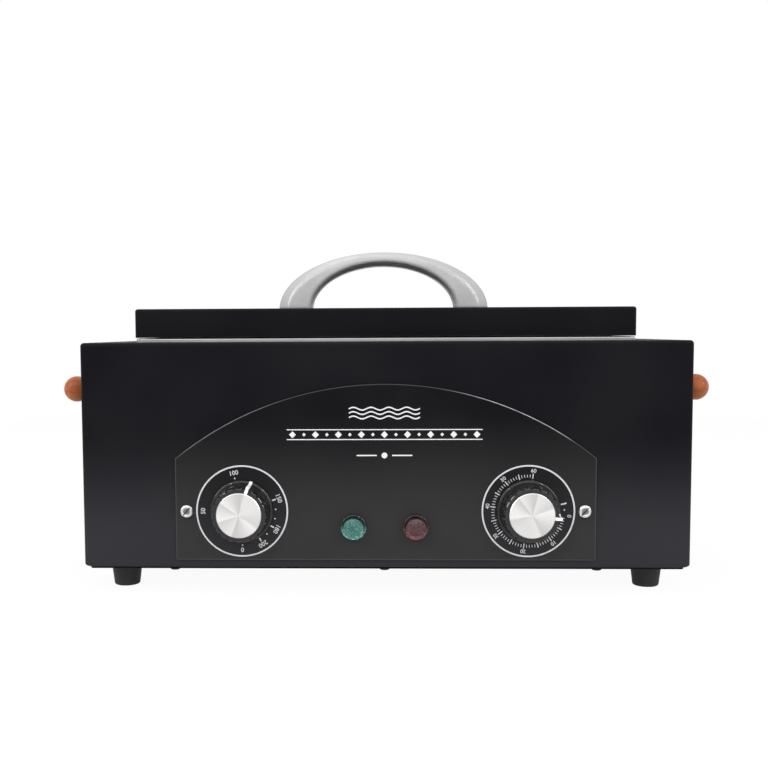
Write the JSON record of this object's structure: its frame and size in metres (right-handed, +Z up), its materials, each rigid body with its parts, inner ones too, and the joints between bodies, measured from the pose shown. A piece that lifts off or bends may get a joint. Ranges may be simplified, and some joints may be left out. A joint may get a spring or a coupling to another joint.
{
  "type": "dry heat sterilizer",
  "caption": "Bench dry heat sterilizer: black steel case with heated chamber and tray, inset hinged lid with bow handle, thermostat and timer knobs, pilot lamps and side balls.",
  "frame": {"origin": "on the floor, under the centre of the whole object's box, knobs and rear inlet included", "axes": "+X to the right as seen from the front, along the longest side; +Y to the rear; +Z up"},
  "size_m": [0.4048, 0.1996, 0.1933],
  "materials": {
    "black_powder_coat": "satin powder coat",
    "black_bottom_coat": "satin powder coat",
    "control_panel_black": "satin black with white print",
    "stainless_steel": "fine brushed stainless",
    "plated_steel": "bright zinc plating",
    "galvanised_sheet": "galvanised",
    "raw_aluminium": "mill finish",
    "element_sheath": "heat-darkened sheath",
    "copper": "drawn copper",
    "brass_contact": "bright brass",
    "mineral_wool": "fibrous wool",
    "silicone": "matt silicone",
    "foot_rubber": "moulded rubber",
    "turned_wood": "lacquered turned wood",
    "silver_lacquer": "satin silver lacquer",
    "knob_phenolic": "glossy black moulding",
    "spun_aluminium": "spun bright aluminium",
    "green_lens": "tinted translucent moulding",
    "red_lens": "tinted translucent moulding",
    "black_plastic": "moulded black plastic",
    "white_ceramic": "unglazed porcelain"
  },
  "bodies": {
    "case": {"outer_case": "black_powder_coat", "bottom_plate": "black_bottom_coat", "bottom_plate_screws": "plated_steel", "foot_front_left": "foot_rubber", "foot_front_right": "foot_rubber", "foot_rear_left": "foot_rubber", "foot_rear_right": "foot_rubber", "foot_screws": "plated_steel", "foot_nuts": "plated_steel", "control_plate": "control_panel_black", "control_plate_screws": "plated_steel", "control_plate_nuts": "plated_steel", "chamber_liner": "stainless_steel", "heat_spreader": "raw_aluminium", "heating_element": "element_sheath", "element_clamps": "plated_steel", "chamber_insulation": "mineral_wool", "heat_shield": "galvanised_sheet", "capillary_bulb": "copper", "thermal_cutout": "plated_steel", "thermostat_body": "plated_steel", "timer_body": "plated_steel", "dial_nuts": "plated_steel", "green_lamp_lens": "green_lens", "red_lamp_lens": "red_lens", "green_lamp_holder": "black_plastic", "red_lamp_holder": "black_plastic", "lamp_nuts": "black_plastic", "terminal_block": "white_ceramic", "inlet_housing": "black_plastic", "inlet_pins": "brass_contact", "inlet_screws": "plated_steel", "ball_stem_left": "plated_steel", "ball_stem_right": "plated_steel", "wood_ball_left": "turned_wood", "wood_ball_right": "turned_wood", "stem_nuts": "plated_steel", "case_hinge_leaf_left": "plated_steel", "case_hinge_leaf_right": "plated_steel", "case_hinge_screws": "plated_steel", "hinge_pin_left": "plated_steel", "hinge_pin_right": "plated_steel", "instrument_tray": "stainless_steel", "tray_loop_left": "stainless_steel", "tray_loop_right": "stainless_steel"},
    "lid": {"lid_shell": "black_powder_coat", "lid_inner_panel": "stainless_steel", "lid_seal": "silicone", "lid_insulation": "mineral_wool", "bow_handle": "silver_lacquer", "handle_screws": "plated_steel", "lid_hinge_leaf_left": "plated_steel", "lid_hinge_leaf_right": "plated_steel", "lid_hinge_screws": "plated_steel"},
    "temperature_dial": {"temperature_knob": "knob_phenolic", "temperature_knob_cap": "spun_aluminium", "thermostat_shaft": "plated_steel"},
    "timer_dial": {"timer_knob": "knob_phenolic", "timer_knob_cap": "spun_aluminium", "timer_shaft": "plated_steel"}
  },
  "joints": [
    {"name": "lid_hinge", "type": "hinge", "parent": "case", "child": "lid", "pos_m": [0, 0.075, 0.1416], "axis": [-1, 0, 0], "range_deg": [0, 100]},
    {"name": "temperature_dial_turn", "type": "hinge", "parent": "case", "child": "temperature_dial", "pos_m": [-0.0786, -0.0837, 0.0461], "axis": [0, 1, 0], "range_deg": [-198, 130]},
    {"name": "timer_dial_turn", "type": "hinge", "parent": "case", "child": "timer_dial", "pos_m": [0.0786, -0.0837, 0.0461], "axis": [0, 1, 0], "range_deg": [0, 270]}
  ]
}
